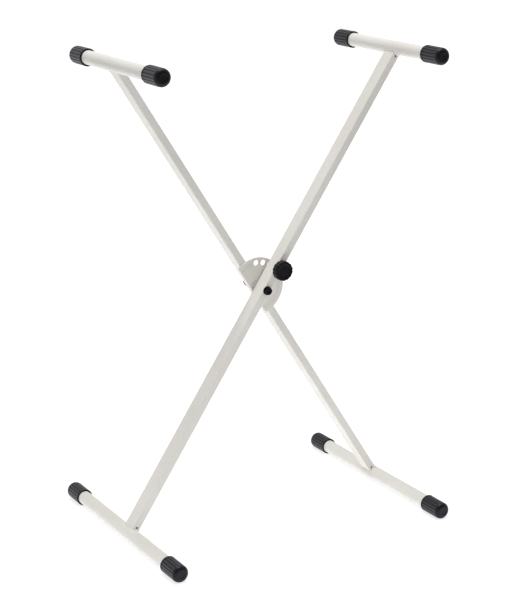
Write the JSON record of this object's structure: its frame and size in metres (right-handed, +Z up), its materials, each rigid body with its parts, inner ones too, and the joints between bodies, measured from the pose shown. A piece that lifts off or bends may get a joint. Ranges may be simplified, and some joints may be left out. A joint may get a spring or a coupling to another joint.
{
  "type": "folding keyboard stand",
  "caption": "Folding X-frame stand on crossed rectangular legs, with round foot and rest tubes, rubber end caps, a pivot bolt and a spring-pin height lock",
  "frame": {"origin": "on the floor under the pivot, the centre of the base", "axes": "+Z up; +X across the crossed legs, to the right seen from the knob's side; +Y from the knob's side to the far side, along the tubes"},
  "size_m": [0.5812, 0.437, 0.8666],
  "materials": {
    "frame_paint": "pale warm grey powder coat, satin",
    "cap_rubber": "black rubber, ribbed, matte",
    "knob_plastic": "black moulded plastic",
    "black_steel": "black oxide steel",
    "bright_steel": "zinc plated steel",
    "slide_plastic": "grey sliding plastic"
  },
  "bodies": {
    "rear_frame": {"rear_leg": "frame_paint", "rear_foot_tube": "frame_paint", "rear_rest_tube": "frame_paint", "rear_foot_cap_near": "cap_rubber", "rear_foot_cap_far": "cap_rubber", "rear_rest_cap_near": "cap_rubber", "rear_rest_cap_far": "cap_rubber", "lock_disc": "frame_paint", "rear_leg_sleeve": "bright_steel", "pivot_bolt": "black_steel", "pivot_nut": "black_steel", "pivot_nut_washer": "black_steel", "pivot_head_washer": "black_steel", "pivot_slide_washer": "slide_plastic"},
    "front_frame": {"front_leg": "frame_paint", "front_foot_tube": "frame_paint", "front_rest_tube": "frame_paint", "front_foot_cap_near": "cap_rubber", "front_foot_cap_far": "cap_rubber", "front_rest_cap_near": "cap_rubber", "front_rest_cap_far": "cap_rubber", "front_leg_bush": "bright_steel", "lock_bush": "frame_paint", "lock_spring": "bright_steel"},
    "lock_pull": {"lock_pin": "bright_steel", "lock_knob": "knob_plastic"}
  },
  "joints": [
    {"name": "fold", "type": "hinge", "parent": "rear_frame", "child": "front_frame", "pos_m": [0, 0, 0.43332], "axis": [0, -1, 0], "range_deg": [-37.8, 63]},
    {"name": "lock_pull", "type": "slide", "parent": "front_frame", "child": "lock_pull", "axis": [0, -1, 0], "range_m": [0, 0.008], "stiffness_N_per_m": 500, "springref_m": -0.012, "deforming": ["lock_spring"]}
  ]
}
